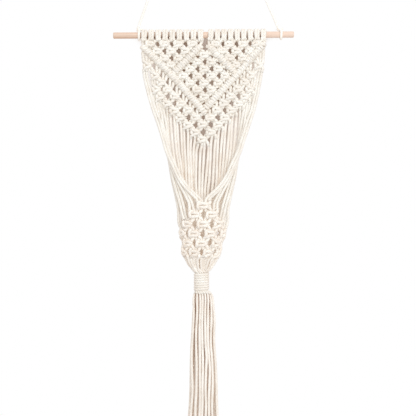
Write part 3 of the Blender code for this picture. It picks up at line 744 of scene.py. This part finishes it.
def knot_top(side):
    x, offset, half_height, entry, _ = TIES[side]
    return np.array((x + offset + entry, 0.0, dowel_z(x) + KNOT_LIFT + half_height + KNOT_CLEAR))


def leave_bend(centre, end, side):
    """Where a straight leg to the end leaves the bend over the hook."""
    away = end - centre
    distance = np.linalg.norm(away)
    ahead = away / distance
    across = np.array((-ahead[2], 0.0, ahead[0])) * side
    share = HOOK_BEND / distance
    found = [ahead * share * HOOK_BEND + way * across * (1 - share**2) ** 0.5 * HOOK_BEND for way in (1, -1)]
    return centre + max(found, key=lambda place: place[0] * side)


def hanging_cord(finish):
    centre = np.array((0.0, 0.0, THIN_CORD - HOOK_BEND))
    left, right = knot_top("left"), knot_top("right")
    left_bend, right_bend = leave_bend(centre, left, -1), leave_bend(centre, right, 1)
    start, end = (np.arctan2(*(place - centre)[[2, 0]]) for place in (left_bend, right_bend))
    route = [left + (left_bend - left) * step / LEG_STEPS for step in range(LEG_STEPS)]
    for step in range(BEND_STEPS + 1):
        angle = start + (end - start) * step / BEND_STEPS
        route.append(centre + HOOK_BEND * np.array((cos(angle), 0.0, sin(angle))))
    route += [right_bend + (right - right_bend) * (step + 1) / LEG_STEPS for step in range(LEG_STEPS)]
    curve = even(through(np.array(route)), RING_STEP)
    cord_piece("hanging_cord_twisted", [single_cord(curve, THIN_CORD)], finish, ["hanging_cord"])


def hitch(side, finish):
    """One end of the hanging cord: once round the stick, and a knot about itself on top."""
    x, offset, _, entry, loop = TIES[side]
    core, axis = x + offset, dowel_z(x)
    reach = DOWEL_RADIUS + THIN_CORD + 0.1
    share, height = KNOT_INTO
    place = lambda step: (core + step[0], step[1], axis + step[2])
    points = [tuple(knot_top(side)), place((share * entry, 0.0, height)), place(KNOT_DOWN)]
    for step, angle in enumerate(TURN):
        points.append((x + TURN_SHIFT - TURN_DRIFT * step, -reach * cos(angle), axis + reach * sin(angle)))
    steps, count, depth, foot, rise = LOOPS
    for step in range(count):
        angle = 2 * pi * step / steps
        points.append(place((-loop * cos(angle), depth * sin(angle + pi / 2), foot + rise * step)))
    points += [place(step) for step in FREE_END]
    curve = softened(even(through(np.array(points)), TIE_STEP), 2)
    in_knot = curve[:, 2] - axis > reach + 0.5
    radii = THIN_CORD * np.where(in_knot, KNOT_THICK, TURN_THICK)
    cord_piece(side + "_hitch_twisted", [single_cord(curve, radii)], finish, [side + "_hitch"])


# ---- finishes
def colour(text):
    """An sRGB hex colour as linear RGBA."""
    parts = [int(text[i:i + 2], 16) / 255 for i in (1, 3, 5)]
    return tuple(c / 12.92 if c <= 0.04045 else ((c + 0.055) / 1.055) ** 2.4 for c in parts) + (1.0,)


def node(tree, kind, links=None, ramp=(), **settings):
    """Adds a node with its settings. Links name its inputs, with a value or another node's output for each.

    A ramp's stops are its places in order, each with an sRGB hex colour.
    """
    made = tree.nodes.new("ShaderNode" + kind)
    for name, value in settings.items():
        setattr(made, name, value)
    for name, value in (links or {}).items():
        if isinstance(value, bpy.types.NodeSocket):
            tree.links.new(value, made.inputs[name])
        else:
            made.inputs[name].default_value = value
    for place, _ in ramp[1:-1]:
        made.color_ramp.elements.new(place)
    for index, (place, text) in enumerate(ramp):
        made.color_ramp.elements[index].position, made.color_ramp.elements[index].color = place, colour(text)
    return made


def new_material(name):
    material = bpy.data.materials.new(name)
    material.use_nodes = True
    material.node_tree.nodes.clear()
    return material, material.node_tree


def cotton(name, painted_glow, painted_glow_colour, between="#FFFFFF"):
    """Natural cotton cord, three plies twisted: a warm matt white, fuzzy, with painted shade, darker, down in the
    grooves between plies.

    The fibres run along each ply, about 0.4 mm apart here, coarser than the real ones so that they show. The painted
    glow is an emission that stands in for the light that thin cord passes on from strand to strand. Between is the
    colour of the painted shade down between strands that lie together.
    """
    material, tree = new_material(name)
    plies = node(tree, "UVMap", uv_map="plies")
    apart = node(tree, "SeparateXYZ", {"Vector": plies.outputs["UV"]})
    tint = node(tree, "Attribute", attribute_name="tint")
    offset = node(tree, "Math", {0: tint.outputs["Fac"], 1: 40.0}, operation="MULTIPLY")
    along = node(tree, "Math", {0: apart.outputs["Y"], 1: 0.9}, operation="MULTIPLY")
    across = node(tree, "Math", {0: apart.outputs["X"], 1: 5.0}, operation="MULTIPLY")
    place = node(tree, "CombineXYZ", {"X": across.outputs[0], "Y": along.outputs[0], "Z": offset.outputs[0]})
    fibres = node(tree, "TexNoise", {"Vector": place.outputs[0], "Scale": 1.0, "Detail": 3.0, "Roughness": 0.6})
    where = node(tree, "TexCoord")
    cloud = node(tree, "TexNoise", {"Vector": where.outputs["Object"], "Scale": 60.0, "Detail": 2.0})
    closed = node(tree, "AmbientOcclusion", {"Distance": 0.006}, samples=8)
    # painted shade: the cord's crest colour, a little darker and warmer down in the grooves between plies
    crest_colour_and_painted_groove_shade = node(tree, "ValToRGB", {"Fac": apart.outputs["X"]}, ramp=((0.0, "#EFECE5"), (0.55, "#F6F8F5")))
    shade = node(tree, "ValToRGB", {"Fac": fibres.outputs["Fac"]}, ramp=((0.3, "#F6F2EE"), (0.6, "#FFFFFF")))
    soft = node(tree, "ValToRGB", {"Fac": cloud.outputs["Fac"]}, ramp=((0.35, "#F8F5F2"), (0.6, "#FFFFFF")))
    # painted shade: the between colour where ambient occlusion finds strands close together, white elsewhere
    painted_crevice_shade = node(tree, "ValToRGB", {"Fac": closed.outputs["AO"]}, ramp=((0.12, between), (0.46, "#FFFFFF")))
    tone = crest_colour_and_painted_groove_shade.outputs[0]
    for layer in (shade, soft, painted_crevice_shade):
        mixed = node(tree, "Mix", {0: 1.0, 6: tone, 7: layer.outputs[0]}, data_type="RGBA", blend_type="MULTIPLY")
        tone = mixed.outputs[2]
    bump = node(tree, "Bump", {"Strength": 0.22, "Distance": 0.0003, "Height": fibres.outputs["Fac"]})
    # painted glow: an emission that stands in for light passed on through and between the strands
    skin = node(tree, "BsdfPrincipled", {
        "Base Color": tone, "Roughness": 0.92, "Specular IOR Level": 0.2, "Normal": bump.outputs[0],
        "Sheen Weight": 0.25, "Sheen Roughness": 0.6, "Sheen Tint": colour("#FFF6EA"),
        "Emission Color": colour(painted_glow_colour), "Emission Strength": painted_glow,
    })
    node(tree, "OutputMaterial", {"Surface": skin.outputs[0]})
    return material


def sanded_wood():
    """Bare beech or birch stick, turned and sanded: pale pinkish tan, fine straight grain along it, no shine.

    The grain's lines are about 1.5 mm apart and the broad ones 7 mm. The stick is paler towards its right end, and
    has painted shade, darker, in the gaps between the cords on it.
    """
    material, tree = new_material("bare_sanded_wood")
    where = node(tree, "TexCoord")
    stretch = node(tree, "Mapping", {"Vector": where.outputs["Object"], "Scale": (9.0, 700.0, 700.0)})
    grain = node(tree, "TexNoise", {"Vector": stretch.outputs[0], "Scale": 1.0, "Detail": 4.0, "Roughness": 0.65})
    wider = node(tree, "Mapping", {"Vector": where.outputs["Object"], "Scale": (5.0, 140.0, 140.0)})
    broad = node(tree, "TexNoise", {"Vector": wider.outputs[0], "Scale": 1.0, "Detail": 2.0})
    fine = node(tree, "ValToRGB", {"Fac": grain.outputs["Fac"]}, ramp=((0.3, "#D5B8A2"), (0.62, "#E9D4C3")))
    wide = node(tree, "ValToRGB", {"Fac": broad.outputs["Fac"]}, ramp=((0.35, "#EFD9C6"), (0.62, "#FFFFFF")))
    mixed = node(tree, "Mix", {0: 1.0, 6: fine.outputs[0], 7: wide.outputs[0]}, data_type="RGBA", blend_type="MULTIPLY")
    apart = node(tree, "SeparateXYZ", {"Vector": where.outputs["Object"]})
    along = node(tree, "MapRange", {"Value": apart.outputs["X"], "From Min": -0.1, "From Max": 0.15})
    pale = node(tree, "Mix", {0: along.outputs[0], 6: mixed.outputs[2], 7: colour("#EBD5C5")}, data_type="RGBA")
    # painted shade: dark brown where ambient occlusion finds the cords close to the stick, multiplied into its colour
    closed = node(tree, "AmbientOcclusion", {"Distance": 0.008}, samples=8)
    gap = node(tree, "ValToRGB", {"Fac": closed.outputs["AO"]}, ramp=((0.05, "#6E4A3C"), (0.34, "#FFFFFF")))
    shaded = node(tree, "Mix", {0: 1.0, 6: pale.outputs[2], 7: gap.outputs[0]}, data_type="RGBA", blend_type="MULTIPLY")
    bump = node(tree, "Bump", {"Strength": 0.35, "Distance": 0.0002, "Height": grain.outputs["Fac"]})
    skin = node(tree, "BsdfPrincipled", {
        "Base Color": shaded.outputs[2], "Roughness": 0.6, "Specular IOR Level": 0.35, "Normal": bump.outputs[0],
    })
    node(tree, "OutputMaterial", {"Surface": skin.outputs[0]})
    return material


# ---- stage, in metres
WALL_Y = 0.012
WALL_HALF, WALL_TOP = 1.6, 0.6
FLOOR_Z = -1.3
FLOOR_HALF = 30
SOFT_BOX_PLACE = (0.5, -1.9, -0.25)
SOFT_BOX_AIM = (0.0, 0.0, -0.55)
SOFT_BOX_SIZE, SOFT_BOX_POWER = 1.4, 17.2
LENS, SENSOR = 100.0, 36.0  # in millimetres
PHOTO = 416  # its width and height, in pixels


def plane(name, corners, material):
    """A surface of the stage, seen by the camera only, so that it neither lights nor shades the hanging."""
    mesh = bpy.data.meshes.new(name)
    mesh.from_pydata(corners, [], [range(len(corners))])
    mesh.materials.append(material)
    made = new_object(name, mesh)
    for kind in ("diffuse", "glossy", "transmission", "shadow", "volume_scatter"):
        setattr(made, "visible_" + kind, False)


def wall_with_painted_shadow():
    """A white wall close behind, which shows painted shadow, dark, only where the knots all but close it off."""
    material, tree = new_material("wall_with_painted_shadow")
    closed = node(tree, "AmbientOcclusion", {"Distance": 0.07}, samples=8)
    # painted shadow: the wall's glow turns brown where ambient occlusion finds the knots close in front, white
    # elsewhere
    tone = node(tree, "ValToRGB", {"Fac": closed.outputs["AO"]}, ramp=(
        (0.04, "#5F4736"), (0.1, "#866A56"), (0.19, "#C6AD9A"), (0.28, "#F1E3D7"), (0.36, "#FFFFFF"),
    ))
    painted_glow = node(tree, "Emission", {"Color": tone.outputs[0], "Strength": 1.0})
    clear = node(tree, "BsdfTransparent")
    face = node(tree, "NewGeometry")
    mixed = node(tree, "MixShader", {0: face.outputs["Backfacing"], 1: painted_glow.outputs[0], 2: clear.outputs[0]})
    node(tree, "OutputMaterial", {"Surface": mixed.outputs[0]})
    corners = ((-WALL_HALF, FLOOR_Z), (WALL_HALF, FLOOR_Z), (WALL_HALF, WALL_TOP), (-WALL_HALF, WALL_TOP))
    plane("wall", [(x, WALL_Y, z) for x, z in corners], material)


def pale_floor():
    """A matt white floor far below, lit evenly so that it runs into the wall."""
    material, tree = new_material("pale_floor")
    skin = node(tree, "BsdfPrincipled", {
        "Base Color": colour("#F6F4F1"), "Roughness": 0.9,
        "Emission Color": colour("#FFFFFF"), "Emission Strength": 0.55,
    })
    node(tree, "OutputMaterial", {"Surface": skin.outputs[0]})
    corners = ((-1, -1), (1, -1), (1, 1), (-1, 1))
    plane("floor", [(x * FLOOR_HALF, y * FLOOR_HALF, FLOOR_Z) for x, y in corners], material)


def soft_light():
    """A white room, brighter above and a little warmer behind, and one large soft light from the front right."""
    world = bpy.data.worlds.new("studio")
    bpy.context.scene.world = world
    world.use_nodes = True
    tree = world.node_tree
    tree.nodes.clear()
    where = node(tree, "TexCoord")
    apart = node(tree, "SeparateXYZ", {"Vector": where.outputs["Generated"]})
    front = node(tree, "MapRange", {
        "Value": apart.outputs["Y"], "From Min": 0.3, "From Max": -0.3, "To Min": 0.78, "To Max": 0.7,
    })
    above = node(tree, "MapRange", {
        "Value": apart.outputs["Z"], "From Min": 0.2, "From Max": 1.0, "To Min": 1.0, "To Max": 1.6,
    })
    strength = node(tree, "Math", {0: front.outputs[0], 1: above.outputs[0]}, operation="MULTIPLY")
    tone = node(tree, "MapRange", {"Value": apart.outputs["Y"], "From Min": 0.4, "From Max": -0.8})
    tint = node(tree, "ValToRGB", {"Fac": tone.outputs[0]}, ramp=((0.0, "#FFEFE5"), (1.0, "#FFFFFF")))
    path = node(tree, "LightPath")
    lit = node(tree, "Background", {"Color": tint.outputs[0], "Strength": strength.outputs[0]})
    seen = node(tree, "Background", {"Color": colour("#FFFFFF"), "Strength": 1.0})
    mixed = node(tree, "MixShader", {0: path.outputs["Is Camera Ray"], 1: lit.outputs[0], 2: seen.outputs[0]})
    node(tree, "OutputWorld", {"Surface": mixed.outputs[0]})
    light = bpy.data.lights.new("soft_box", "AREA")
    light.shape, light.energy = "RECTANGLE", SOFT_BOX_POWER
    light.size = light.size_y = SOFT_BOX_SIZE
    lamp = new_object("soft_box", light)
    lamp.location = SOFT_BOX_PLACE
    lamp.rotation_euler = (Vector(SOFT_BOX_AIM) - Vector(SOFT_BOX_PLACE)).to_track_quat("-Z", "Y").to_euler()


def camera():
    """Straight on, as in the photograph, which cuts off the hook above and the tassel's end below."""
    data = bpy.data.cameras.new("camera")
    data.lens, data.sensor_width, data.clip_end = LENS, SENSOR, 20.0
    made = new_object("camera", data)
    distance = PHOTO * SQUARE * MM * LENS / SENSOR
    made.location = spot(PHOTO / 2, PHOTO / 2) * MM - np.array((0.0, distance, 0.0))
    made.rotation_euler = (radians(90), 0.0, 0.0)
    bpy.context.scene.camera = made


camera()
# One cotton in four copies that differ only in painted light: a stronger, whiter painted glow on the thin cord, a
# warmer painted glow on the strands that hang close, and on the tassel that warmer glow with painted shade between
# strands as well.
finish = cotton("twisted_cotton_cord", 0.085, "#F0D6C2")
thin_cotton_painted_brighter = cotton("thin_cotton_cord_painted_brighter", 0.17, "#FFFAF4")
close_cotton_painted_warmer = cotton("cotton_cord_hanging_close_painted_warmer", 0.105, "#F3C9AC")
tassel_cotton_painted_glow_and_shade = cotton("cotton_cord_of_the_tassel_painted_glow_and_shade", 0.1, "#F3C9AC", "#BF9F87")
hanging_cord(thin_cotton_painted_brighter)
for side in ("left", "right"):
    hitch(side, thin_cotton_painted_brighter)
all_strands(finish, {"back_cords": close_cotton_painted_warmer, "pocket_net": close_cotton_painted_warmer, "tassel": tassel_cotton_painted_glow_and_shade})
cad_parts["dowel"].data.materials.clear()
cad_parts["dowel"].data.materials.append(sanded_wood())
wall_with_painted_shadow()
pale_floor()
soft_light()
bpy.context.scene.view_settings.view_transform = "Standard"
